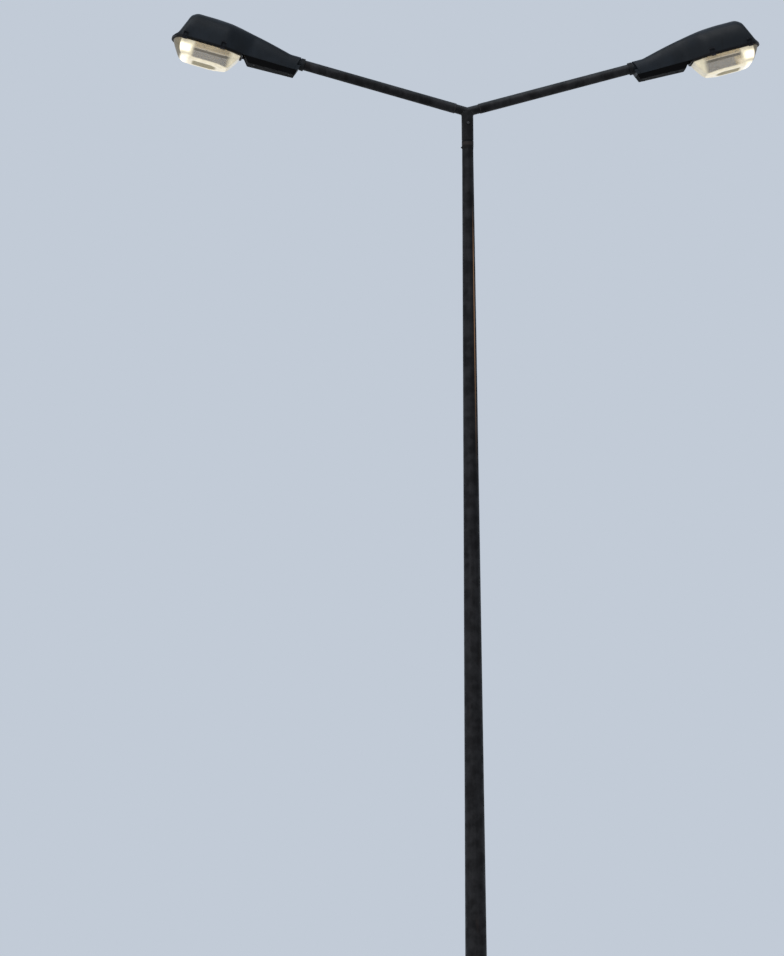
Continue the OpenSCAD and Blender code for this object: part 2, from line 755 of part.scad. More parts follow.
// A latch on the near side: a spring strap that hooks under the frame, bulges over the housing's
// edge and bears on its side, with a finger tab below and a window through its middle
module latch_clips(side) {
    out = frame_half_w + fit_gap;
    top = rim_u + clip_up;
    bulge_u = top - clip_bulge;
    hook = 8;
    hook_low = frame_low - clip_t;
    tab_low = hook_low - clip_tab;
    tab_out = out + clip_t + 1;
    window_low = frame_top - 3;
    color(bright_steel) at_luminaire(side)
        for (s = [mid_clip_s, front_clip_s]) mirror([0, 1, 0]) difference() {
            translate([s - clip_w / 2, 0, 0]) rotate([90, 0, 90]) linear_extrude(clip_w) {
                translate([out - hook, hook_low]) square([hook + clip_t, clip_t]);
                translate([out, hook_low]) square([clip_t, bulge_u - clip_bulge + clip_t - hook_low]);
                translate([front_half_w + fit_gap, top - clip_t]) square([out - front_half_w, clip_t]);
                polygon([
                    [out, hook_low + eps], [out + clip_t, hook_low + eps],
                    [tab_out + clip_t, tab_low], [tab_out, tab_low]]);
                intersection() {
                    difference() {
                        translate([out, bulge_u]) circle(r = clip_bulge);
                        translate([out, bulge_u]) circle(r = clip_bulge - clip_t);
                    }
                    translate([out, bulge_u - clip_bulge]) square(2 * clip_bulge);
                }
            }
            translate([s - clip_window / 2, out - 1, window_low])
                cube([clip_window, clip_bulge + 2, bulge_u + 2 - window_low]);
        }
}

// The reflector: a flat sheet that closes the housing's mouth, and a hood over the lamp
hood_rear = frame_rear + 54;
hood_front = body_len - 44;
module hood_form(inset, low_u) {
    w = 2 * (reflector_half_w - inset);
    hull() {
        translate([hood_rear + inset, -w / 2, low_u]) cube([hood_front - hood_rear - 2 * inset, w, 0.1]);
        translate([hood_rear + reflector_lean + inset, reflector_lean - w / 2, reflector_roof - inset])
            cube([hood_front - hood_rear - 2 * reflector_lean - 2 * inset, w - 2 * reflector_lean, 0.1]);
    }
}

module reflector(side) {
    plate_u = rim_u + 0.5;
    plate_gap = 1;
    tip_gap = 1.6;
    draw_in = housing_wall + plate_gap;
    plate_start = frame_rear + frame_wall;
    plate = [for (s = concat([plate_start], [for (p = housing_places()) if (p > plate_start + 4) p]))
        [s < brow_s ? s : s - draw_in - tip_gap, max(0, half_w(s) - draw_in)]];
    color([0.93, 0.90, 0.80]) at_luminaire(side) difference() {
        union() {
            translate([0, 0, plate_u]) linear_extrude(reflector_t) polygon(both_sides(plate));
            hood_form(0, plate_u);
        }
        hood_form(reflector_t, plate_u - 1);
        translate([0, 0, lamp_u]) bar(hood_rear - 10, lamp_start, holder_d + 2);
    }
}

module lamp(side) {
    color([1, 0.97, 0.88]) at_luminaire(side) translate([lamp_start, 0, lamp_u]) rotate([0, 90, 0]) {
        cylinder(h = lamp_len - lamp_d / 2, d = lamp_d);
        translate([0, 0, lamp_len - lamp_d / 2]) sphere(d = lamp_d);
        translate([0, 0, -12]) cylinder(h = 12 + eps, d1 = 36, d2 = lamp_d);
        translate([0, 0, -40]) cylinder(h = 28 + eps, d = 38);
    }
}

module lampholder(side) {
    start = lamp_start - 12 - holder_len;
    color([0.92, 0.91, 0.87]) at_luminaire(side) translate([start, 0, lamp_u]) rotate([0, 90, 0]) {
        difference() {
            cylinder(h = holder_len, d = holder_d);
            translate([0, 0, holder_len - 29]) cylinder(h = 30, d = 38.6);
        }
        translate([-5, -14, -8]) cube([10, 28, 10]);
    }
}

base_flange();
lower_shaft();
upper_shaft();
door_frame();
service_door();
door_locks();
shaft_collar();
collar_screw();
top_spigot();
bracket_sleeve();
bracket_screws();
bracket_head();
arm(-1);  // left_arm
arm(1);  // right_arm
arm_clamp(-1);  // left_arm_clamp
canopy(-1);  // left_canopy
end_casting(-1);  // left_end_casting
gear_cover(-1);  // left_gear_cover
reflector(-1);  // left_reflector
lamp(-1);  // left_lamp
lampholder(-1);  // left_lampholder
hinge_clips(-1);  // left_hinge_clips
bowl_frame(-1);  // left_bowl_frame
bowl_seal(-1);  // left_bowl_seal
bowl(-1);  // left_bowl
latch_clips(-1);  // left_latch_clips
arm_clamp(1);  // right_arm_clamp
canopy(1);  // right_canopy
end_casting(1);  // right_end_casting
gear_cover(1);  // right_gear_cover
reflector(1);  // right_reflector
lamp(1);  // right_lamp
lampholder(1);  // right_lampholder
hinge_clips(1);  // right_hinge_clips
bowl_frame(1);  // right_bowl_frame
bowl_seal(1);  // right_bowl_seal
bowl(1);  // right_bowl
latch_clips(1);  // right_latch_clips
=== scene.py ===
"""The looks of a twin-arm street lighting column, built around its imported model.

The column's own frame: +Z up, the arms along X, the origin in the base flange's underside.
A luminaire has its own directions: s outward along the arm from the luminaire's rear end,
t across it, and u up from the arm's axis. Lengths are in metres.
"""
import json
import math
from functools import partial

import bpy
from mathutils import Matrix, Vector


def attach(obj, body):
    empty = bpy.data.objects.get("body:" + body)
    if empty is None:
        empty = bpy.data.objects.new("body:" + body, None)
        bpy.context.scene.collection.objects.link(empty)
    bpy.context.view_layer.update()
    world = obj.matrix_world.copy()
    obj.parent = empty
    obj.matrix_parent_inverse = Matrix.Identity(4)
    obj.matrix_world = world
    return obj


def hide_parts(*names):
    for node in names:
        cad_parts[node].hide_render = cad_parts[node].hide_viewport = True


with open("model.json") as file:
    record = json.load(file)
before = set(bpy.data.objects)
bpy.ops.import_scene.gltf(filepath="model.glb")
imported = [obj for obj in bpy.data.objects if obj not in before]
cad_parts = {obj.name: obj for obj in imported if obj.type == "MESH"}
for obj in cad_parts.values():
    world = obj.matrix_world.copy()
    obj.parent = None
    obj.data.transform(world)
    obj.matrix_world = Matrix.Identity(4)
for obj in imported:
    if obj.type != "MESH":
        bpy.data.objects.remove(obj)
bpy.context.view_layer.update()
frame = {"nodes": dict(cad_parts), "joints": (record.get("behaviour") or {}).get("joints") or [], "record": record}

bl_info = {
    "name": "Twin-arm street lighting column",
    "version": (1, 0, 0),
    "blender": (4, 5, 0),
    "location": "View3D > Sidebar > Column",
    "description": "Finishes, smooth shells, welds and fasteners of a street lighting column",
    "category": "Object",
}

MM = 0.001
SIDES = {"left": -1, "right": 1}


def number(text, about, value, **more):
    """A property that is a number."""
    return bpy.props.FloatProperty(name=text, description=about, default=value, **more)


def length(text, about, millimetres):
    """A length property, whose default is written in millimetres."""
    return number(text, about, millimetres * MM, unit="LENGTH", precision=4)


def angle(text, about, degrees):
    """An angle property, whose default is written in degrees."""
    return number(text, about, math.radians(degrees), subtype="ANGLE")


def linear(hex_code):
    """An sRGB hex colour as linear red, green, blue and alpha."""
    parts = [int(hex_code[i:i + 2], 16) / 255 for i in (0, 2, 4)]
    return [p / 12.92 if p <= 0.04045 else ((p + 0.055) / 1.055) ** 2.4 for p in parts] + [1.0]


def colour(text, about, hex_code):
    """A colour property, whose default is written as an sRGB hex value."""
    return bpy.props.FloatVectorProperty(
        name=text, description=about, default=linear(hex_code), size=4, subtype="COLOR",
        min=0, max=1)


def group(text, about, kind):
    """A group of properties as one property."""
    return bpy.props.PointerProperty(name=text, description=about, type=kind)


class ColumnSizes(bpy.types.PropertyGroup):
    """Sizes of the column and its bracket that the welds and fasteners follow."""

    arm_tilt: number("Arm tilt", "Upward tilt of the arms",
                     math.asin(abs(frame["joints"][0]["axis"][2])), subtype="ANGLE")
    crossing_z: length("Crossing height", "Height at which the arms' axes cross", 9600)
    arm_reach: length("Arm reach", "From the crossing to a luminaire's rear end", 1022)
    stub_show: length("Stub", "From the crossing to an arm's inner end", 78)
    stub_d: length("Stub diameter", "Outer diameter of the bent tube between the arms", 54)
    sleeve_d: length("Sleeve diameter", "Outer diameter of the sleeve over the spigot", 70)
    base_d: length("Foot diameter", "Outer diameter of the shaft at its foot", 182)
    top_d: length("Top diameter", "Outer diameter of the shaft at its top end", 66)
    foot_z: length("Foot height", "Height of the shaft's foot on the flange", 20)
    top_z: length("Shaft height", "Height of the shaft's top end", 9423)
    weld_z: length("Girth weld height", "Height of the weld in the middle of the shaft", 1600)
    foot_weld: length("Foot weld", "Leg length of the weld round the foot", 8)


class LuminaireSizes(bpy.types.PropertyGroup):
    """Sizes of the luminaire's housing and bowl, in its own directions."""

    body_len: length("Housing length", "From the rear end to the tip", 774)
    neck_half_w: length("Neck half width", "Half width of the narrow rear part", 56)
    front_half_w: length("Front half width", "Half width of the wide front part", 125)
    flare_start: length("Flare start", "Where the housing starts to widen", 300)
    flare_end: length("Flare end", "Where the housing reaches its full width", 470)
    rear_crown: length("Rear crown", "Height of the crown at the rear end", 37.5)
    top_crown: length("Top crown", "Height of the crown at its highest", 116)
    rim_u: length("Lower edge", "Height of the housing's lower edge", -51)
    rise_start: length("Rise start", "Where the crown starts to rise", 75)
    rise_end: length("Rise end", "Where the crown reaches its highest", 575)
    nose_start: length("Nose start", "Where the crown starts to round over", 655)
    brow_s: length("Brow", "Where the round brow meets the steep front wall", 702)
    brow_drop: length("Brow drop", "How far the crown has dropped at the brow", 24)
    skirt_s: length("Skirt", "Where the front wall meets the low skirt", 748)
    skirt_h: length("Skirt height", "Height of the skirt over the lower edge", 22)
    nose_round: length("Nose length", "Length of the elliptic front end in plan", 60)
    rear_lean: length("Rear lean", "How far the rear face leans out at its lower edge", 26)
    housing_wall: length("Housing wall", "Wall thickness of the housing", 2.5)
    frame_rear: length("Bowl frame start", "Where the bowl's frame starts", 346)
    frame_out: length("Bowl frame overhang", "How far it stands out past the housing", 3)
    frame_corner: length("Bowl frame corner", "Radius of the frame's rear corners", 24)
    frame_wall: length("Bowl frame wall", "Wall thickness of the bowl's frame", 3)
    frame_lip: length("Bowl frame lip", "Width of the frame's lip", 12)
    flange_u: length("Bowl flange height", "Underside of the bowl's flange", -60)
    frame_low: length("Bowl frame bottom", "Underside of the bowl's frame", -63)
    bowl_depth: length("Bowl depth", "Depth of the bowl below its frame", 102)
    bowl_wall: length("Bowl wall", "Wall thickness of the bowl", 3)
    bowl_play: length("Bowl play", "Clearance between the bowl and its frame's opening", 2.5)


class Finishes(bpy.types.PropertyGroup):
    """Colours of the column's finishes."""

    steel_dark: colour("Old zinc, dark", "Dark patches of the weathered galvanising", "08080A")
    steel_light: colour("Old zinc, light", "Lighter patches of the weathered zinc", "222224")
    # On the steel this also stands for painted light from above on upper faces
    steel_dust: colour("Dust", "Dust and lichen on upper faces of the steel", "33383C")
    steel_rust: colour("Rust", "Thin rust stains on the steel", "2A1E18")
    # A painted reflection: the colour of the warm glint down one flank of the shaft
    seam: colour("Seam weld", "Browned zinc along the shaft's seam weld", "8E6B4E")
    spring_steel: colour("Clips", "Stainless spring steel of the clips", "222225")
    screw_steel: colour("Screws", "Stainless steel of screws and locks", "474748")
    housing: colour("Housing", "Paint of the luminaire's housing", "0E1318")
    housing_fade: colour("Housing, faded", "Chalked paint on the housing's top", "202831")
    casting: colour("Castings", "Paint of the clamp and the end casting", "0C0E11")
    cover: colour("Gear cover", "Moulded plastic of the gear cover", "09090A")
    bowl_frame: colour("Bowl frame", "Paint of the bowl's frame", "070709")
    rubber: colour("Seal", "Rubber of the bowl's seal", "0C0C0C")
    bowl: colour("Bowl", "Acrylic of the bowl, a little yellowed", "C4BDA2")
    bowl_shade: colour("Bowl, shaded", "Tint of the bowl's unlit front wall", "6B624F")
    bowl_clear: colour("Bowl, clear wall", "Tint of the side walls and their grey film", "78736A")
    bowl_floor: colour("Bowl, floor", "Tint of the floor, where dust gathers", "877E5C")
    light: colour("Light", "Colour of the lamp's light", "FFF3DC")
    reflector: colour("Reflector", "Anodised aluminium of the reflector", "D6CDB0")
    porcelain: colour("Lampholder", "Glazed porcelain of the lampholder", "E9E6DC")


class StageSettings(bpy.types.PropertyGroup):
    """The camera, the light and the pale surroundings."""

    focal_px: number("Focal length", "In pixels of the photograph's frame", 6515)
    camera_h: length("Camera height", "Height of the camera above the ground", 1600)
    camera_pitch: angle("Camera pitch", "Upward pitch of the camera", 8.75)
    camera_roll: angle("Camera roll", "Roll of the camera", -0.49)
    camera_yaw: angle("Camera yaw", "Turn of the column as the camera sees it", 5.6)
    backdrop: colour("Backdrop", "Colour that the camera sees behind the column", "C2CBD7")
    floor: colour("Floor", "Colour of the floor", "C9CCD0")
    world_level: number("Light all round", "Brightness of the light from all round", 0.55)
    key_level: number("Key light", "Brightness of the soft light from above", 1.9)
    fill_level: number("Fill light", "Brightness of the soft light from the side", 0.7)


class ColumnSettings(bpy.types.PropertyGroup):
    """All the sizes and finishes that a user may change."""

    column: group("Column", "Sizes of the column", ColumnSizes)
    luminaire: group("Luminaire", "Sizes of the luminaires", LuminaireSizes)
    finishes: group("Finishes", "Colours of the finishes", Finishes)
    stage: group("Stage", "Camera and light", StageSettings)


def settings():
    """The settings kept in the scene."""
    return bpy.context.scene.lighting_column


# Nodes


# Nodes that come up often, by a name for what they give, each with its type and its options
KINDS = {
    "eased": ("ShaderNodeMapRange", {"interpolation_type": "SMOOTHSTEP"}),
    "mixed": ("ShaderNodeMix", {"data_type": "RGBA"}),
    "sum": ("ShaderNodeMath", {"operation": "ADD"}),
    "difference": ("ShaderNodeMath", {"operation": "SUBTRACT"}),
    "product": ("ShaderNodeMath", {"operation": "MULTIPLY"}),
    "greater": ("ShaderNodeMath", {"operation": "MAXIMUM"}),
    "axes": ("ShaderNodeSeparateXYZ", {}),
}


def add_node(tree, kind, *inputs, **options):
    """Adds a node, sets its options, and sets or links its inputs.

    The inputs are given in order, or as one dict by name. A node that is given as an input
    stands for its first output.
    """
    kind, usual = KINDS.get(kind, (kind, {}))
    node = tree.nodes.new(kind)
    for name, value in {**usual, **options}.items():
        setattr(node, name, value)
    wired = zip([socket for socket in node.inputs if socket.enabled], inputs)
    if inputs and isinstance(inputs[0], dict):
        wired = [(node.inputs[name], value) for name, value in inputs[0].items()]
    for socket, value in wired:
        if isinstance(value, bpy.types.Node):
            value = next(output for output in value.outputs if output.enabled)
        if isinstance(value, bpy.types.NodeSocket):
            tree.links.new(value, socket)
        else:
            socket.default_value = value
    return node


def own_place(node, stretch=(1, 1, 1)):
    """The place on the piece, in metres, stretched along its axes."""
    place = node("ShaderNodeTexCoord").outputs["Object"]
    return node("ShaderNodeMapping", {"Vector": place, "Scale": stretch})


def cloud(node, grain_mm, detail, stretch=(1, 1, 1)):
    """Smooth noise whose blotches are about grain_mm across, from 0 to 1."""
    return node("ShaderNodeTexNoise", {
        "Vector": own_place(node, stretch), "Scale": 1 / (grain_mm * MM), "Detail": detail})


def blotches(node, grain_mm, detail, low, high, least=0.0, most=1.0, stretch=(1, 1, 1)):
    """Such noise, eased from low to high into a range of values."""
    return node("eased", cloud(node, grain_mm, detail, stretch), low, high, least, most)


def overlap(node, *shares):
    """The share of the surface that lies in all the given shares."""
    both = shares[0]
    for share in shares[1:]:
        both = node("product", both, share)
    return both


def facing_up(node):
    """How much a surface looks upward, from -1 to 1."""
    return node("axes", node("ShaderNodeNewGeometry").outputs["Normal"]).outputs["Z"]


def end_finish(node, shader_inputs, relief=None):
    """Ends a finish in a shader. Its relief is a real depth in mm, and what a cloud takes."""
    if relief:
        depth_mm, *grain = relief
        shader_inputs = {**shader_inputs, "Normal": node("ShaderNodeBump", {
            "Strength": 1.0, "Distance": depth_mm * MM, "Height": cloud(node, *grain)})}
    shader = node("ShaderNodeBsdfPrincipled", shader_inputs)
    node("ShaderNodeOutputMaterial", {"Surface": shader})


def patchy(node, under, over, patches, roughness, relief, others):
    """A finish in two colours: blotches of one over the other.

    The patches, and the roughness where it varies, say what the blotches are like.
    """
    if isinstance(roughness, tuple):
        roughness = blotches(node, *roughness)
    base = node("mixed", blotches(node, *patches), under, over)
    end_finish(node, {"Base Color": base, "Roughness": roughness, **others}, relief)


# Finishes. Each is named for what the real surface is.


# How far round the shaft the painted warm glint lies, along the line of its long weld
GLINT_TURN = math.radians(-50)
# Rolling draws a strip's grain out along it
ROLLED = (1, 8, 1)


def weathered_galvanised_steel(node, paint):
    """Hot-dip galvanised steel after many years outdoors."""
    # Zinc grows a dull patina in patches a palm wide, over the crystals of the dipping
    crystals = node("ShaderNodeTexVoronoi", {
        "Vector": own_place(node), "Scale": 1 / (16 * MM)}).outputs["Color"]
    grey = node("ShaderNodeSeparateColor", crystals)
    patina = node("sum", blotches(node, 60, 6, 0.35, 0.68, 0, 0.6),
                  blotches(node, 30, 3, 0.4, 0.7, 0, 0.3, stretch=(1, 1, 0.045)))
    patina = node("sum", patina, node("product", grey, 0.12))
    base = node("mixed", patina, paint.steel_dark, paint.steel_light)
    # Thin rust stains run down from scratches
    stains = overlap(node, blotches(node, 45, 5, 0.6, 0.76, 0, 0.25, stretch=(1, 1, 0.12)),
                     blotches(node, 400, 2, 0.42, 0.6))
    base = node("mixed", stains, base, paint.steel_rust)
    # A painted reflection: a thin warm glint down one flank of the upper shaft, along the line of the cone's long
    # weld
    x, y, z = node("axes", own_place(node)).outputs
    turn = node("ShaderNodeMath", y, x, operation="ARCTAN2")
    off_glint = node("ShaderNodeMath", node("difference", turn, GLINT_TURN), operation="ABSOLUTE")
    seam = overlap(node, node("eased", off_glint, math.radians(3), math.radians(7), 1, 0),
                   node("eased", z, 7.4, 8.35), node("eased", z, 8.65, 9.1, 1, 0))
    base = node("mixed", seam, base, paint.seam)
    # Upper faces are lighter: partly dust and lichen, partly painted light from above
    dust = overlap(node, node("eased", facing_up(node), 0.1, 0.85, 0, 0.75),
                   blotches(node, 25, 5, 0.2, 0.8, 0.5, 1))
    base = node("mixed", dust, base, paint.steel_dust)
    height = node("sum", cloud(node, 9, 3), node("product", grey, 0.25))
    end_finish(node, {
        "Base Color": base, "Roughness": blotches(node, 60, 6, 0.3, 0.7, 0.62, 0.44),
        "Metallic": 0.35, "Specular IOR Level": 0.15,
        "Normal": node("ShaderNodeBump", {
            "Strength": 1.0, "Distance": 0.35 * MM, "Height": height})})


def galvanised_weld_bead(node, paint):
    """Weld metal under the same zinc: rippled, a little darker and rusty at its edges."""
    zinc = node("mixed", blotches(node, 14, 4, 0.35, 0.65), paint.steel_dark, paint.steel_light)
    patchy(node, zinc, paint.steel_rust, (40, 4, 0.5, 0.66, 0, 0.35), 0.55,
           (0.3, 3, 3), {"Metallic": 0.4})


def rusty_collar_steel(node, paint):
    """The clamp collar's zinc, browned by fine rust, black above its groove and nearly black below its band."""
    rust = blotches(node, 20, 4, 0.3, 0.7, 0.15, 0.6)
    base = node("mixed", rust, paint.steel_light, paint.steel_rust)
    z = node("axes", own_place(node)).outputs["Z"]
    top_z = settings().column.top_z
    groove_z, band_foot_z = top_z - 6 * MM, top_z - 26 * MM
    # Black above the groove and nearly black below the band
    soot = node("greater", node("eased", z, groove_z - MM, groove_z + MM),
                node("eased", z, band_foot_z - 2 * MM, band_foot_z + 2 * MM, 0.8, 0))
    end_finish(node, {
        "Base Color": node("mixed", soot, base, paint.bowl_frame),
        "Roughness": blotches(node, 8, 3, 0.3, 0.7, 0.5, 0.66),
        "Metallic": 0.3, "Specular IOR Level": 0.15}, (0.2, 4, 3))


def stainless_spring_steel(node, paint):
    """Stainless spring steel strip, rolled and then dulled by soot."""
    patchy(node, paint.spring_steel, paint.steel_dark, (18, 4, 0.35, 0.7, 0, 0.7),
           (1.2, 2, 0.3, 0.7, 0.34, 0.5, ROLLED), (0.03, 0.8, 2, ROLLED), {"Metallic": 1.0})


def turned_stainless_steel(node, paint):
    """Turned stainless steel of screws and locks, with grime and fine turning marks."""
    patchy(node, paint.screw_steel, paint.steel_dark, (6, 4, 0.4, 0.7, 0, 0.6),
           (2, 3, 0.3, 0.7, 0.3, 0.5), (0.02, 0.6, 2), {"Metallic": 1.0})


def powder_coated_housing(node, paint):
    """Slate polyester powder coat on a moulded shell: semi-matt, with a faint orange peel."""
    # Sun and rain chalk the top, and the paint goes paler there in soft clouds
    chalk = overlap(node, node("eased", facing_up(node), 0.35, 0.98),
                    blotches(node, 90, 4, 0.3, 0.75, 0.35, 1))
    worn = blotches(node, 170, 5, 0.42, 0.72, 0, 0.3)
    base = node("mixed", node("greater", chalk, worn), paint.housing, paint.housing_fade)
    # Rain leaves thin runs of soot down the sides. The peel is drawn at 5 mm, coarser than
    # the real 2 mm, so that it shows
    patchy(node, base, paint.cover, (12, 4, 0.56, 0.78, 0, 0.4, (1, 1, 0.1)),
           (60, 4, 0.3, 0.7, 0.36, 0.5), (0.06, 5, 2), {"IOR": 1.5, "Specular IOR Level": 0.14})


def painted_aluminium_casting(node, paint):
    """Painted aluminium casting: the sand's grain shows through the paint."""
    patchy(node, paint.casting, paint.housing_fade, (22, 5, 0.5, 0.74, 0, 0.5),
           (8, 3, 0.3, 0.7, 0.48, 0.62), (0.15, 2.5, 3), {"IOR": 1.5, "Specular IOR Level": 0.15})


def moulded_black_polypropylene(node, paint):
    """Moulded black polypropylene with a fine spark-eroded grain and some dust."""
    patchy(node, paint.cover, paint.housing, (70, 5, 0.42, 0.75, 0, 0.15),
           (30, 3, 0.3, 0.7, 0.55, 0.68), (0.08, 1.6, 2), {"IOR": 1.49, "Specular IOR Level": 0.03})


def black_stoved_enamel(node, paint):
    """Black stoved enamel on the aluminium frame, rubbed thin in places."""
    patchy(node, paint.bowl_frame, paint.housing_fade, (35, 5, 0.6, 0.8, 0, 0.35),
           (20, 3, 0.3, 0.7, 0.32, 0.5), (0.05, 4, 2), {"IOR": 1.5, "Specular IOR Level": 0.12})


def extruded_epdm_rubber(node, paint):
    """Extruded EPDM rubber: black, dull, with a bloom."""
    patchy(node, paint.rubber, paint.steel_dust, (10, 4, 0.45, 0.75, 0, 0.35), 0.8,
           (0.05, 2, 2), {})


def anodised_reflector_aluminium(node, paint):
    """Bright anodised aluminium sheet with soft dents, whose lower face glows with painted lamp light."""
    # Only the lower face glows with painted lamp light; the sheet's edges stay dark
    lit = node("eased", facing_up(node), -0.6, -0.2, 0.65, 0)
    patchy(node, paint.reflector, paint.light, (40, 4, 0.35, 0.7, 0, 0.35),
           (3, 2, 0.3, 0.7, 0.5, 0.62), (0.25, 24, 2),
           {"Metallic": 0.7, "Emission Color": paint.light, "Emission Strength": lit})


def lit_lamp_glass(node, paint):
    """The lamp's outer glass tube while it is lit: a dusty, glowing white."""
    end_finish(node, {
        "Base Color": paint.light, "Roughness": 0.15, "Emission Color": paint.light,
        "Emission Strength": blotches(node, 30, 3, 0.3, 0.7, 1.1, 1.5)})


def glazed_porcelain(node, paint):
    """Glazed white porcelain of the lampholder, with brown heat marks."""
    patchy(node, paint.porcelain, paint.bowl_shade, (16, 4, 0.5, 0.8, 0, 0.5), 0.18,
           (0.05, 5, 2), {"IOR": 1.52, "Coat Weight": 0.5})


def clear_moulded_acrylic(node, paint):
    """Drape-moulded clear acrylic, a little yellowed, that catches the lamp's light.

    The mesh carries a value called place: how far along the luminaire a point lies, how far
    round from the side to the middle of the front, and how deep. Depth is 0 at the frame, 1 at
    the lowest fold, and grows on to 2 in the middle of the floor.
    """
    place = node("ShaderNodeAttribute", attribute_name="place").outputs["Vector"]
    along, front, depth = node("axes", place).outputs
    # The side walls are clear between the sloping ends, apart from a thin grey film
    clear = overlap(node, node("eased", along, 0.405, 0.44),
                    node("eased", along, 0.625, 0.65, 1, 0),
                    node("eased", depth, 0.86, 0.93, 1, 0))
    # The front wall lies outside the beam, so it is painted in shade, with less glow; its edge runs down to the
    # fold's corner
    round_front = node("difference", front, node("product", depth, 0.6))
    floor = node("eased", depth, 1.15, 1.4)
    off_floor = node("eased", depth, 1.15, 1.4, 1, 0)
    facet = overlap(node, node("eased", round_front, 0.02, 0.13),
                    node("eased", depth, 0.78, 0.9, 1, 0))
    # A painted pool of light: the lamp's end throws a bright spot on the wall just behind that edge
    beam_end = overlap(node, node("eased", along, 0.642, 0.672), node("difference", 1, facet))
    spot = overlap(node, beam_end, node("eased", depth, 0.16, 0.42),
                   node("eased", depth, 0.6, 0.8, 1, 0))
    # The folds at the foot are thick and catch the light, most of all at the beam's end
    fold = overlap(node, node("eased", depth, 0.8, 0.94), off_floor,
                   node("sum", node("product", beam_end, 0.5), 0.22))
    # A painted shadow of the frame's lip: the bowl's top band takes the frame's black, nearly opaque and without
    # glow
    lip = node("eased", depth, 0.03, 0.055, 1, 0)
    below_lip_shadow = node("eased", depth, 0.03, 0.055)

    base = paint.bowl
    for share, tint in ((clear, paint.bowl_clear), (node("product", floor, 0.9), paint.bowl_floor),
                        (node("product", facet, 0.92), paint.bowl_shade), (lip, paint.bowl_frame)):
        base = node("mixed", share, base, tint)
    # The glow is painted lamp light: a little all over, more in the spot and along the folds, less on the clear
    # walls, the floor and the front wall, none under the lip
    glow = node("sum", node("sum", node("product", spot, 1.1), 0.3), fold)
    for share, loss in ((clear, 0.8), (floor, 0.6), (facet, 0.9)):
        glow = node("product", glow, node("difference", 1, node("product", share, loss)))
    glow = overlap(node, glow, below_lip_shadow, blotches(node, 26, 5, 0.3, 0.75, 0.8, 1.1))
    # Each wall counts once: only the face that a ray meets from its own side is tinted
    cover = node("difference", 0.97, overlap(node, clear, 0.33, below_lip_shadow))
    behind = node("ShaderNodeNewGeometry").outputs["Backfacing"]
    # Dust makes the floor matt; the lip's painted shadow, and in part the front wall's painted shade, are matt
    # too, so that nothing shines there
    dull = node("greater", node("greater", floor, lip), node("product", facet, 0.6))
    end_finish(node, {
        "Base Color": base, "Emission Color": paint.light, "Emission Strength": glow,
        "Alpha": node("product", cover, node("difference", 1, behind)),
        "Roughness": node("eased", dull, 0, 1, 0.08, 0.7),
        "IOR": 1.49, "Specular IOR Level": 0.25}, (0.25, 45, 2))


def matt_floor(node, paint):
    """A pale matt ground. Seen from below it is clear, so that the column's foot shows."""
    below = node("ShaderNodeNewGeometry").outputs["Backfacing"]
    end_finish(node, {"Base Color": settings().stage.floor, "Roughness": 0.9,
                      "Alpha": node("difference", 1, below)})


# The finish of each record slot
FINISH_OF_SLOT = {
    "galvanised_steel": weathered_galvanised_steel,
    "stainless_steel": turned_stainless_steel,
    "clamp_casting": painted_aluminium_casting,
    "housing": powder_coated_housing,
    "gear_cover": moulded_black_polypropylene,
    "bowl_frame": black_stoved_enamel,
    "seal_rubber": extruded_epdm_rubber,
    "clear_bowl": clear_moulded_acrylic,
    "reflector": anodised_reflector_aluminium,
    "lamp_glass": lit_lamp_glass,
    "lampholder": glazed_porcelain,
}
made_finishes = {}


def finish(make):
    """The material of a finish, made on first use and then shared."""
    if make not in made_finishes:
        material = bpy.data.materials.new(make.__name__)
        material.use_nodes = True
        material.node_tree.nodes.clear()
        make(partial(add_node, material.node_tree), settings().finishes)
        made_finishes[make] = material
    return made_finishes[make]


def dress(piece, material):
    """Gives a whole piece one material."""
    piece.data.materials.clear()
    piece.data.materials.append(material)


# Shapes


def add_object(name, data):
    """An object at the origin, in the scene."""
    made = bpy.data.objects.new(name, data)
    bpy.context.scene.collection.objects.link(made)
    return made


def new_piece(name, vertices, faces=(), edges=()):
    """A mesh object at the origin, made from points, edges and faces."""
    mesh = bpy.data.meshes.new(name)
    mesh.from_pydata([tuple(v) for v in vertices], edges, faces)
    mesh.update()
    return add_object(name, mesh)


def keep_on_points(piece, name, vectors):
    """Keeps one vector for each point of a piece."""
    kept = piece.data.attributes.new(name, "FLOAT_VECTOR", "POINT")
    for i, vector in enumerate(vectors):
        kept.data[i].vector = vector


def settled(piece, name):
    """A plain mesh object of what a piece's modifiers show. The piece itself is removed."""
    bpy.context.view_layer.update()
    graph = bpy.context.evaluated_depsgraph_get()
    mesh = bpy.data.meshes.new_from_object(piece.evaluated_get(graph), depsgraph=graph)
    bpy.data.objects.remove(piece)
    mesh.name = name
    return add_object(name, mesh)


def smooth(piece, degrees):
    """Shades a piece smooth, apart from folds sharper than the angle."""
    for other in bpy.context.selected_objects:
        other.select_set(False)
    bpy.context.view_layer.objects.active = piece
    piece.select_set(True)
    bpy.ops.object.shade_smooth_by_angle(angle=math.radians(degrees))
    piece.select_set(False)


# Folds of the shells that are sharper than this, in degrees, stay sharp
SHARP_FOLD = 40


def net(rows, columns, start=0, closed=False):
    """Faces of a net of points, row after row."""
    faces = []
    for a in range(start, start + (rows - 1) * columns, columns):
        b = a + columns
        for k in range(columns if closed else columns - 1):
            n = (k + 1) % columns
            faces.append((a + k, a + n, b + n, b + k))
    return faces


def turned_over(faces):
    """The same faces, looking the other way."""
    return [face[::-1] for face in faces]


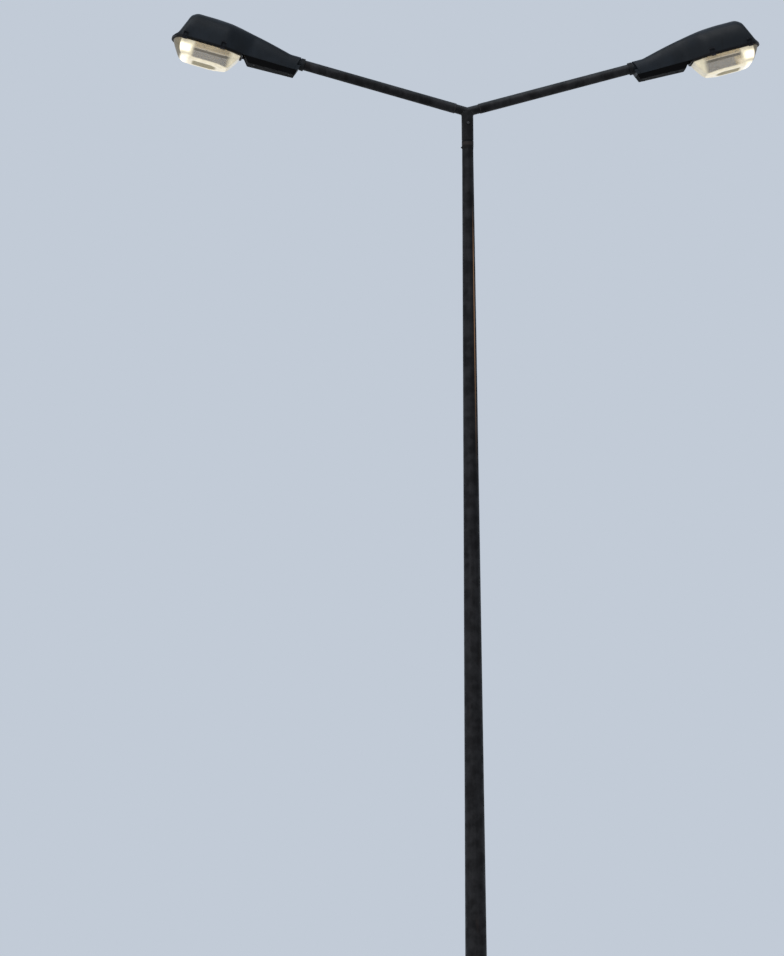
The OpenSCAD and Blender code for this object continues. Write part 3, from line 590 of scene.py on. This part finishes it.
def in_column(s, t, u, side):
    """A luminaire's own place, in the column's frame."""
    sizes = settings().column
    reach = sizes.arm_reach + s
    x = reach * math.cos(sizes.arm_tilt) - u * math.sin(sizes.arm_tilt)
    z = sizes.crossing_z + reach * math.sin(sizes.arm_tilt) + u * math.cos(sizes.arm_tilt)
    return Vector((side * x, t, z))


def ease(value, low, high):
    """0 below low, 1 above high, and a smooth step between them."""
    x = min(1, max(0, (value - low) / (high - low)))
    return x * x * (3 - 2 * x)


# How blunt the housing's tip is in plan, and how high it stands over the lower edge
TIP_BLUNT = 0.8 * MM
TIP_H = 3 * MM
# The shell's crown stays this far below the model's, which keeps it inside the model's box
CROWN_PLAY = 0.9 * MM
# Its lower edge reaches this far below the model's, so that no light leaks out over the frame
RIM_REACH = 0.8 * MM
# How far each fold of the crown is rounded, to either side
FOLD_ROUND = 6 * MM
# The power that makes the housing's section a rounded box: 1 would make it an ellipse
BOX_POWER = 0.6
# The shell starts this far from the luminaire's rear end, inside the end casting
SHELL_START = 10 * MM
# Points round the shell's section, along its body and along its nose
SECTION_STEPS, BODY_STEPS, NOSE_STEPS = 56, 60, 44


def round_points(count, turn=2 * math.pi):
    """The cosines and sines of points evenly along a turn, without its end."""
    return [(math.cos(turn * k / count), math.sin(turn * k / count)) for k in range(count)]


def quarter(count):
    """The cosines and sines of points evenly along a quarter turn, with its end."""
    return round_points(count, math.pi / 2) + [(math.cos(math.pi / 2), 1.0)]


def plan_w(s, grow=0.0):
    """Half width of the housing in plan, grown by a distance."""
    d = settings().luminaire
    widened = min(1, max(0, (s - d.flare_start) / (d.flare_end - d.flare_start)))
    flare = 0.5 - 0.5 * math.cos(math.pi * widened)
    wide = d.neck_half_w + (d.front_half_w - d.neck_half_w) * flare + grow
    nose_from = d.body_len - d.nose_round
    past = max(0, s - nose_from) / (d.nose_round + TIP_BLUNT + grow)
    return wide * math.sqrt(max(0, 1 - past ** 2))


def crown(s):
    """Height of the housing's crown along its length, before its folds are rounded."""
    d = settings().luminaire
    if s < d.rise_start:
        return d.rear_crown
    if s < d.rise_end:
        share = (s - d.rise_start) / (d.rise_end - d.rise_start)
        return d.rear_crown + (d.top_crown - d.rear_crown) * math.sin(math.pi / 2 * share)
    if s < d.nose_start:
        return d.top_crown
    if s < d.brow_s:
        share = (s - d.nose_start) / (d.brow_s - d.nose_start)
        return d.top_crown - d.brow_drop * (1 - math.cos(math.pi / 2 * share))
    brow, skirt, tip = d.top_crown - d.brow_drop, d.rim_u + d.skirt_h, d.rim_u + TIP_H
    if s < d.skirt_s:
        return brow + (skirt - brow) * (s - d.brow_s) / (d.skirt_s - d.brow_s)
    return skirt + (tip - skirt) * (s - d.skirt_s) / (d.body_len - d.skirt_s)


def round_crown(s):
    """The crown with its folds rounded, as a mould has them: a mean over nine places."""
    reach = min(FOLD_ROUND, settings().luminaire.body_len - s)
    offsets = [reach * k / 4 for k in range(-4, 5)]
    return sum(crown(s + o) for o in offsets) / len(offsets) - CROWN_PLAY


def section(half_w, height):
    """A rounded box section, from one lower edge over the crown to the other, as t and height."""
    points = []
    for k in range(SECTION_STEPS + 1):
        a = math.pi * k / SECTION_STEPS
        across = math.copysign(abs(math.cos(a)) ** BOX_POWER, math.cos(a))
        points.append((half_w * across, height * abs(math.sin(a)) ** BOX_POWER))
    return points


def canopy_ring(s, inset, side):
    """One ring of the housing's shell, on its outer wall or inset from it."""
    d = settings().luminaire
    crown_u = round_crown(s)
    # The rear face leans, and the next rings straighten up over four times its lean
    leaning = max(0, 1 - (s - SHELL_START) / (4 * d.rear_lean))
    lean = d.rear_lean * leaning / (d.rear_crown - d.rim_u)
    at = s - inset * ease(s, d.nose_start, d.brow_s)
    height = max(0.5 * MM, crown_u - d.rim_u - inset)
    ring = []
    for t, h in section(plan_w(s) - inset, height):
        # A section's two ends, at no height, are the lower edges
        low = h if h > 1e-6 else -RIM_REACH
        ring.append(in_column(at + lean * (crown_u - d.rim_u - h), t, d.rim_u + low, side))
    return ring


def make_canopy(word, side):
    """The housing's shell: one closed mesh with an outer and an inner wall."""
    d = settings().luminaire
    places = [SHELL_START + (d.nose_start - SHELL_START) * k / BODY_STEPS
              for k in range(BODY_STEPS)]
    places += [d.nose_start + (d.body_len - d.nose_start) * sin for _, sin in quarter(NOSE_STEPS)]
    vertices = [p for inset in (0, d.housing_wall) for s in places
                for p in canopy_ring(s, inset, side)]
    rows, columns = len(places), SECTION_STEPS + 1
    inner, end = rows * columns, SECTION_STEPS
    last = (rows - 1) * columns
    # The two walls meet along both lower edges, at the rear and at the tip
    faces = net(rows, columns) + turned_over(net(rows, columns, inner))
    for a in range(0, last, columns):
        b = a + columns
        faces.append((a, b, inner + b, inner + a))
        faces.append((a + end, inner + a + end, inner + b + end, b + end))
    faces += [(k + 1, k, inner + k, inner + k + 1) for k in range(end)]
    faces += [(last, last + end, inner + last + end, inner + last),
              tuple(range(last, last + columns)),
              tuple(range(inner + last, inner + last + columns))[::-1]]
    shell = new_piece(f"{word}_canopy_shell", vertices, faces if side > 0 else turned_over(faces))
    smooth(shell, SHARP_FOLD)
    return shell


# Points along the middle of the rear edge, each corner, each side and each half of the nose
REAR_STEPS, CORNER_STEPS, SIDE_STEPS, FRONT_STEPS = 6, 8, 30, 24


def edge_side(rear, grow, corner):
    """One side of an outline along the housing's edge, from the rear's middle to the tip.

    Each point has its place along, its place across, and how far round the front it is, 0 to 1.
    """
    d = settings().luminaire
    nose_from, start = d.body_len - d.nose_round, rear + corner
    half = plan_w(start, grow)
    points = [(rear, (half - corner) * k / REAR_STEPS, 0) for k in range(REAR_STEPS)]
    points += [(rear + corner * (1 - cos), half - corner * (1 - sin), 0)
               for cos, sin in quarter(CORNER_STEPS)]
    for k in range(1, SIDE_STEPS):
        s = start + (nose_from - start) * k / SIDE_STEPS
        points.append((s, plan_w(s, grow), 0))
    reach = d.nose_round + TIP_BLUNT + grow
    return points + [(nose_from + reach * sin, (d.front_half_w + grow) * cos, k / FRONT_STEPS)
                     for k, (cos, sin) in enumerate(quarter(FRONT_STEPS))]


def frame_outline(inset):
    """An outline inside the bowl frame's outer edge, as one closed ring."""
    d = settings().luminaire
    one = edge_side(d.frame_rear + inset, d.frame_out - inset, d.frame_corner - inset)
    return one + [(s, -t, front) for s, t, front in one[-2:0:-1]]


# The bowl's levels from its top down: depth as a share of the bowl's, and how far the level
# stands in from the frame's opening at the rear, at the front and at each side, in millimetres
BOWL_LEVELS = ((0.25, 14, 16, 6), (0.79, 50, 56, 18), (0.93, 66, 76, 27), (1.0, 96, 116, 45))
# The folds are rounded by cutting off these shares of each level, twice
FOLD_CUTS = (0.13, 0.16)
# The front is an ellipse at the frame, and squarer at this depth
SQUARE_DEPTH = 0.79
# Rings of the floor, as shares of its outline
FLOOR_RINGS = (0.94, 0.75, 0.5, 0.25, 0.06)
# The gap between the bowl's flange and its frame's wall
FLANGE_GAP = 0.3 * MM


def rounded_levels():
    """The bowl's levels with their folds rounded."""
    play = settings().luminaire.bowl_play / MM
    levels = [(0.0, play, play, play)] + list(BOWL_LEVELS)
    for share in FOLD_CUTS:
        cut = [levels[0]]
        for a, b in zip(levels, levels[1:]):
            cut.append(tuple(p + (q - p) * share for p, q in zip(a, b)))
            cut.append(tuple(q + (p - q) * share for p, q in zip(a, b)))
        cut[1:2] = []
        levels = cut + [levels[-1]]
    return levels


def bowl_ring(mouth, depth, rear_in, front_in, side_in):
    """One level of the bowl: points with their place along, across and up, front and depth."""
    d = settings().luminaire
    rear_s, tip_s = min(p[0] for p in mouth), max(p[0] for p in mouth)
    half = max(p[1] for p in mouth)
    along = (tip_s - rear_s - (rear_in + front_in) * MM) / (tip_s - rear_s)
    across = (half - side_in * MM) / half
    power = 1 - 0.5 * ease(depth, 0, SQUARE_DEPTH)
    middle = tip_s - front_in * MM
    fold = rear_s + rear_in * MM + (d.body_len - d.nose_round - rear_s) * along
    ring = []
    for s, t, front in mouth:
        if front > 0:
            a = math.pi / 2 * front
            s = fold + (middle - fold) * math.sin(a) ** power
            t = math.copysign(half * across * max(0, math.cos(a)) ** power, t)
        else:
            s, t = rear_s + rear_in * MM + (s - rear_s) * along, t * across
        ring.append((s, t, d.frame_low - depth * d.bowl_depth, front, depth))
    return ring


def make_bowl(word, side):
    """The clear bowl: a flange, steep sides, sloping ends and a folded bottom, with a real wall."""
    d = settings().luminaire
    mouth = frame_outline(d.frame_lip)
    levels = rounded_levels()
    rings = [[(s, t, d.flange_u, front, 0)
              for s, t, front in frame_outline(d.frame_wall + FLANGE_GAP)]]
    rings.append([(s, t, d.flange_u, front, depth)
                  for s, t, _, front, depth in bowl_ring(mouth, *levels[0])])
    rings += [bowl_ring(mouth, *level) for level in levels]
    floor = rings[-1]
    middle_s = sum(p[0] for p in floor) / len(floor)
    for share in FLOOR_RINGS:
        rings.append([(middle_s + (s - middle_s) * share, t * share, u, front, 2 - share)
                      for s, t, u, front, _ in floor])
    points = [p for ring in rings for p in ring]
    faces = net(len(rings), len(mouth), closed=True)
    faces.append(tuple(range(len(points) - len(mouth), len(points))))
    shell = new_piece(f"{word}_bowl_shell",
                      [in_column(s, t, u, side) for s, t, u, _, _ in points],
                      faces if side < 0 else turned_over(faces))
    keep_on_points(shell, "place", [(s, front, depth) for s, _, _, front, depth in points])
    wall = shell.modifiers.new("wall", "SOLIDIFY")
    wall.thickness = d.bowl_wall
    wall.offset = -1
    wall.use_even_offset = True
    shell = settled(shell, f"{word}_clear_bowl")
    smooth(shell, SHARP_FOLD)
    return shell


def shaft_r(z):
    """Outer radius of the shaft at a height."""
    d = settings().column
    return (d.base_d + (d.top_d - d.base_d) * (z - d.foot_z) / (d.top_z - d.foot_z)) / 2


# Points of a weld's path round the shaft, round an arm and along a saddle
SHAFT_POINTS, ARM_POINTS, SADDLE_STEPS = 96, 48, 24
# How far round the sleeve a saddle reaches to either side, in degrees
SADDLE_TURN = 78


def level_circle(z, r):
    """A closed ring of points round the shaft."""
    return [(r * c, r * s, z) for c, s in round_points(SHAFT_POINTS)]


def arm_ring(at, r, side):
    """A closed ring of points round an arm, at a distance from the crossing."""
    return [in_column(at - settings().column.arm_reach, r * c, r * s, side)
            for c, s in round_points(ARM_POINTS)]


def saddle(side):
    """The line where a slanting stub's underside meets the sleeve."""
    d = settings().column
    tube_r, sleeve_r = d.stub_d / 2, d.sleeve_d / 2
    points = []
    for k in range(SADDLE_STEPS + 1):
        a = math.radians(-SADDLE_TURN + 2 * SADDLE_TURN * k / SADDLE_STEPS)
        x, y = sleeve_r * math.cos(a), sleeve_r * math.sin(a)
        if abs(y) < tube_r:
            drop = math.sqrt(tube_r ** 2 - y ** 2)
            z = d.crossing_z + (x * math.sin(d.arm_tilt) - drop) / math.cos(d.arm_tilt)
            points.append((side * x, y, z))
    return points


# A pan head of 10 mm: the radius and height of each of its rings, in millimetres, then the
# recess's corner radius and its two heights
HEAD_RINGS = ((5.0, 0.0), (5.0, 2.2), (4.6, 2.9), (3.9, 3.2), (2.6, 3.3))
RECESS_R, RECESS_HEIGHTS = 2.0, (3.3, 1.2)
# Points round the head, and its folds that stay sharp, in degrees
HEAD_POINTS, HEAD_FOLD = 24, 35


def hexagon(k):
    """How much nearer than its corner a hexagon's edge lies, towards point k of the head."""
    a = 2 * math.pi * k / HEAD_POINTS % (math.pi / 3) - math.pi / 6
    return math.cos(a) / math.cos(math.pi / 6)


def screw_head():
    """A pan head with a hexagon recess."""
    rings = [[(r, z)] * HEAD_POINTS for r, z in HEAD_RINGS]
    rings += [[(RECESS_R / hexagon(k), z) for k in range(HEAD_POINTS)] for z in RECESS_HEIGHTS]
    points = [(r * c * MM, r * s * MM, z * MM) for ring in rings
              for (r, z), (c, s) in zip(ring, round_points(HEAD_POINTS))]
    faces = net(len(rings), HEAD_POINTS, closed=True)
    faces += [tuple(range(len(points) - HEAD_POINTS, len(points))),
              tuple(range(HEAD_POINTS))[::-1]]
    head = new_piece("screw_head", points, faces)
    smooth(head, HEAD_FOLD)
    return head


# Geometry Nodes


def new_tree(name, inputs):
    """A Geometry Nodes tree with named inputs: its node adder, its inputs and its end."""
    tree = bpy.data.node_groups.new(name, "GeometryNodeTree")
    geometry = {"name": "Geometry", "socket_type": "NodeSocketGeometry"}
    tree.interface.new_socket(in_out="INPUT", **geometry)
    for text, kind, value in inputs:
        socket = tree.interface.new_socket(text, in_out="INPUT", socket_type=kind)
        if value is not None:
            socket.default_value = value
    tree.interface.new_socket(in_out="OUTPUT", **geometry)
    node = partial(add_node, tree)
    return tree, node, node("NodeGroupInput").outputs


def weld_tree():
    """Lays a weld bead along a path: a round core, and overlapping ripples along it."""
    tree, node, given = new_tree("weld_bead", [
        ("Bead Radius", "NodeSocketFloat", 4 * MM), ("Ripple Spacing", "NodeSocketFloat", 4 * MM),
        ("Material", "NodeSocketMaterial", None)])
    path = node("GeometryNodeMeshToCurve", {"Mesh": given["Geometry"]})
    points = node("GeometryNodeCurveToPoints", {
        "Curve": path, "Length": given["Ripple Spacing"]}, mode="LENGTH").outputs
    ripple = node("GeometryNodeMeshIcoSphere", {"Radius": given["Bead Radius"], "Subdivisions": 2})
    size = node("FunctionNodeRandomValue", {
        "Min": (0.97, 0.97, 0.62), "Max": (1.12, 1.12, 0.8), "Seed": 7}, data_type="FLOAT_VECTOR")
    ripples = node("GeometryNodeInstanceOnPoints", {
        "Points": points["Points"], "Instance": ripple, "Rotation": points["Rotation"],
        "Scale": size})
    profile = node("GeometryNodeCurvePrimitiveCircle", {
        "Resolution": 8, "Radius": given["Bead Radius"]})
    core = node("GeometryNodeCurveToMesh", {"Curve": path, "Profile Curve": profile})
    joined = node("GeometryNodeJoinGeometry", node("GeometryNodeRealizeInstances", ripples))
    tree.links.new(core.outputs["Mesh"], joined.inputs["Geometry"])
    coloured = node("GeometryNodeSetMaterial", {
        "Geometry": node("GeometryNodeSetShadeSmooth", joined), "Material": given["Material"]})
    node("NodeGroupOutput", coloured)
    return tree


def fastener_tree():
    """Sets a fastener's head on every point, looking the way the point says, turned at random."""
    tree, node, given = new_tree("set_fasteners", [
        ("Head", "NodeSocketObject", None), ("Scale", "NodeSocketFloat", 1.0),
        ("Material", "NodeSocketMaterial", None)])
    facing = node("GeometryNodeInputNamedAttribute", {"Name": "facing"}, data_type="FLOAT_VECTOR")
    aligned = node("FunctionNodeAlignRotationToVector", {"Vector": facing}, axis="Z")
    turn = node("FunctionNodeRandomValue", {
        "Min": 0.0, "Max": math.pi, "Seed": 11}, data_type="FLOAT")
    spin = node("FunctionNodeAxisAngleToRotation", {"Axis": (0, 0, 1), "Angle": turn})
    turned = node("FunctionNodeRotateRotation", {"Rotation": aligned, "Rotate By": spin},
                  rotation_space="LOCAL")
    head = node("GeometryNodeObjectInfo", {"Object": given["Head"]}).outputs["Geometry"]
    placed = node("GeometryNodeInstanceOnPoints", {
        "Points": given["Geometry"], "Instance": head, "Rotation": turned,
        "Scale": given["Scale"]})
    coloured = node("GeometryNodeSetMaterial", {
        "Geometry": node("GeometryNodeRealizeInstances", placed), "Material": given["Material"]})
    node("NodeGroupOutput", coloured)
    return tree


def grow_nodes(piece, tree, values, name):
    """Runs a Geometry Nodes tree on a piece with named inputs, and gives back a plain mesh."""
    modifier = piece.modifiers.new("nodes", "NODES")
    modifier.node_group = tree
    sockets = {i.name: i.identifier for i in tree.interface.items_tree if i.in_out == "INPUT"}
    for text, value in values.items():
        modifier[sockets[text]] = value
    return settled(piece, name)


# Operators


class COLUMN_OT_camera(bpy.types.Operator):
    """Place the camera where the photograph was taken from"""

    bl_idname = "column.camera"
    bl_label = "Camera"

    # The photograph's frame, and where in it the arms' axes cross, in pixels
    frame_w, frame_h = 784, 956
    crossing_x, crossing_y = 467.3, 112.0

    def execute(self, context):
        chosen = settings().stage
        facing = (Matrix.Rotation(-chosen.camera_yaw, 3, "Z")
                  @ Matrix.Rotation(math.pi / 2 + chosen.camera_pitch, 3, "X")
                  @ Matrix.Rotation(chosen.camera_roll, 3, "Z"))
        to_crossing = facing @ Vector(((self.crossing_x - self.frame_w / 2) / chosen.focal_px,
                                       (self.frame_h / 2 - self.crossing_y) / chosen.focal_px, -1))
        crossing = Vector((0, 0, settings().column.crossing_z))
        away = (crossing.z - chosen.camera_h) / to_crossing.z
        data = bpy.data.cameras.new("photo_camera")
        data.sensor_fit = "AUTO"
        data.sensor_width = 36
        data.lens = chosen.focal_px * data.sensor_width / self.frame_h
        data.clip_end = 500
        camera = add_object("photo_camera", data)
        camera.matrix_world = Matrix.Translation(crossing - to_crossing * away) @ facing.to_4x4()
        context.scene.camera = camera
        return {"FINISHED"}


class COLUMN_OT_stage(bpy.types.Operator):
    """Set up the pale floor, the soft lights and the pale surroundings"""

    bl_idname = "column.stage"
    bl_label = "Stage"

    floor_half = 60.0
    # How soft each light is, and how it is turned, in degrees
    lights = {"key": (60, (38, 0, -24)), "fill": (90, (70, 0, -58))}

    def execute(self, context):
        chosen = settings().stage
        scene = context.scene
        scene.view_settings.view_transform = "Standard"
        h = self.floor_half
        floor = new_piece("floor", [(-h, -h, 0), (h, -h, 0), (h, h, 0), (-h, h, 0)],
                          [(0, 1, 2, 3)])
        dress(floor, finish(matt_floor))
        world = bpy.data.worlds.new("soft_surroundings")
        scene.world = world
        world.use_nodes = True
        world.node_tree.nodes.clear()
        node = partial(add_node, world.node_tree)
        # The camera, glass and metal see the backdrop; everything else is lit white all round
        rays = node("ShaderNodeLightPath").outputs
        seen = node("greater", rays["Is Camera Ray"], rays["Is Transmission Ray"])
        seen = node("greater", seen, rays["Is Glossy Ray"])
        lit = node("ShaderNodeBackground", (1, 1, 1, 1), chosen.world_level)
        shown = node("ShaderNodeBackground", chosen.backdrop, 1.0)
        node("ShaderNodeOutputWorld", {
            "Surface": node("ShaderNodeMixShader", seen, lit, shown)})
        for name, (softness, turn) in self.lights.items():
            light = bpy.data.lights.new(f"{name}_light", "SUN")
            light.energy = getattr(chosen, f"{name}_level")
            light.angle = math.radians(softness)
            add_object(light.name, light).rotation_euler = [math.radians(a) for a in turn]
        return {"FINISHED"}


class COLUMN_OT_finishes(bpy.types.Operator):
    """Give every piece of the model the finish that its record slot names"""

    bl_idname = "column.finishes"
    bl_label = "Finishes"

    def execute(self, context):
        slots = {part["node"]: part["material_slot"] for part in frame["record"]["subparts"]}
        for name, node in frame["nodes"].items():
            make = FINISH_OF_SLOT[slots[name]]
            if "clips" in name:
                make = stainless_spring_steel
            elif name == "shaft_collar":
                make = rusty_collar_steel
            dress(node, finish(make))
        return {"FINISHED"}


class COLUMN_OT_canopies(bpy.types.Operator):
    """Make the smooth shells of the two luminaire housings"""

    bl_idname = "column.canopies"
    bl_label = "Canopies"

    def execute(self, context):
        for word, side in SIDES.items():
            shell = make_canopy(word, side)
            dress(shell, finish(powder_coated_housing))
            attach(shell, "root")
            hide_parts(f"{word}_canopy")
        return {"FINISHED"}


class COLUMN_OT_bowls(bpy.types.Operator):
    """Make the two clear bowls, which swing with their frames"""

    bl_idname = "column.bowls"
    bl_label = "Bowls"

    def execute(self, context):
        for word, side in SIDES.items():
            bowl = make_bowl(word, side)
            dress(bowl, finish(clear_moulded_acrylic))
            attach(bowl, f"{word}_bowl_assembly")
            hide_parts(f"{word}_bowl")
        return {"FINISHED"}


class COLUMN_OT_welds(bpy.types.Operator):
    """Lay the weld beads of the shaft, the bracket and the arms"""

    bl_idname = "column.welds"
    bl_label = "Welds"

    # How deep the girth weld sinks into the shaft, and how the arms' welds lie on their stubs
    girth_sink = 1.5 * MM
    arm_back, arm_rise = 2 * MM, 1.2 * MM

    def execute(self, context):
        d = settings().column
        tree = weld_tree()
        leg = d.foot_weld / 2
        foot = (level_circle(d.foot_z + leg, shaft_r(d.foot_z) + leg), True)
        girth = (level_circle(d.weld_z, shaft_r(d.weld_z) - self.girth_sink), True)
        saddles = [(saddle(side), False) for side in SIDES.values()]
        arms = [(arm_ring(d.stub_show - self.arm_back, d.stub_d / 2 + self.arm_rise, side), True)
                for side in SIDES.values()]
        # Each bead's runs, closed or open, its radius and the spacing of its ripples
        for name, runs, radius, spacing in (("foot_weld_bead", [foot], 3.4, 5),
                                            ("girth_weld_bead", [girth], 4.5, 5),
                                            ("bracket_weld_beads", saddles, 3.2, 3.5),
                                            ("arm_weld_beads", arms, 2.4, 3.2)):
            points, edges = [], []
            for run, closed in runs:
                first, count = len(points), len(run)
                points += run
                edges += [(first + k, first + (k + 1) % count)
                          for k in range(count if closed else count - 1)]
            bead = grow_nodes(new_piece(name + "_path", points, edges=edges), tree, {
                "Bead Radius": radius * MM, "Ripple Spacing": spacing * MM,
                "Material": finish(galvanised_weld_bead)}, name)
            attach(bead, "root")
        return {"FINISHED"}


class COLUMN_OT_fasteners(bpy.types.Operator):
    """Set the screws of the gear covers and the reflectors"""

    bl_idname = "column.fasteners"
    bl_label = "Fasteners"

    # Each part's screws in mm: how far out and how high each pair lies, how far apart it is,
    # and then the screws' size
    screws = {"cover": (((58, -83.8), (268, -89.05)), 68, 1.0),
              "reflector": (((440, -50.5), (560, -50.5), (680, -50.5)), 208, 0.8)}

    def execute(self, context):
        tree = fastener_tree()
        head = screw_head()
        for word, side in SIDES.items():
            down = in_column(0, 0, -1, side) - in_column(0, 0, 0, side)
            for part, (pairs, apart, scale) in self.screws.items():
                places = [in_column(s * MM, t * MM, u * MM, side)
                          for s, u in pairs for t in (-apart / 2, apart / 2)]
                spots = new_piece(f"{word}_{part}_points", places)
                keep_on_points(spots, "facing", [down] * len(places))
                screws = grow_nodes(spots, tree, {
                    "Head": head, "Scale": scale, "Material": finish(turned_stainless_steel)},
                    f"{word}_{part}_screws")
                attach(screws, "root")
        bpy.data.objects.remove(head)
        return {"FINISHED"}


STEPS = (COLUMN_OT_camera, COLUMN_OT_stage, COLUMN_OT_finishes, COLUMN_OT_canopies, COLUMN_OT_bowls,
         COLUMN_OT_welds, COLUMN_OT_fasteners)


class COLUMN_PT_panel(bpy.types.Panel):
    """Lists the steps that make the column's looks."""

    bl_idname = "COLUMN_PT_panel"
    bl_label = "Lighting column"
    bl_space_type = "VIEW_3D"
    bl_region_type = "UI"
    bl_category = "Column"

    def draw(self, context):
        for step in STEPS:
            self.layout.operator(step.bl_idname)


CLASSES = (ColumnSizes, LuminaireSizes, Finishes, StageSettings, ColumnSettings,
           *STEPS, COLUMN_PT_panel)


def register():
    """Adds the settings, the steps and the panel to Blender."""
    for made in CLASSES:
        bpy.utils.register_class(made)
    bpy.types.Scene.lighting_column = group(
        "Lighting column", "Sizes and finishes of the column", ColumnSettings)


def unregister():
    """Removes them again."""
    del bpy.types.Scene.lighting_column
    for made in reversed(CLASSES):
        bpy.utils.unregister_class(made)


def main():
    """Makes the whole scene."""
    register()
    for step in STEPS:
        family, name = step.bl_idname.split(".")
        getattr(getattr(bpy.ops, family), name)()


if __name__ == "__main__":
    main()
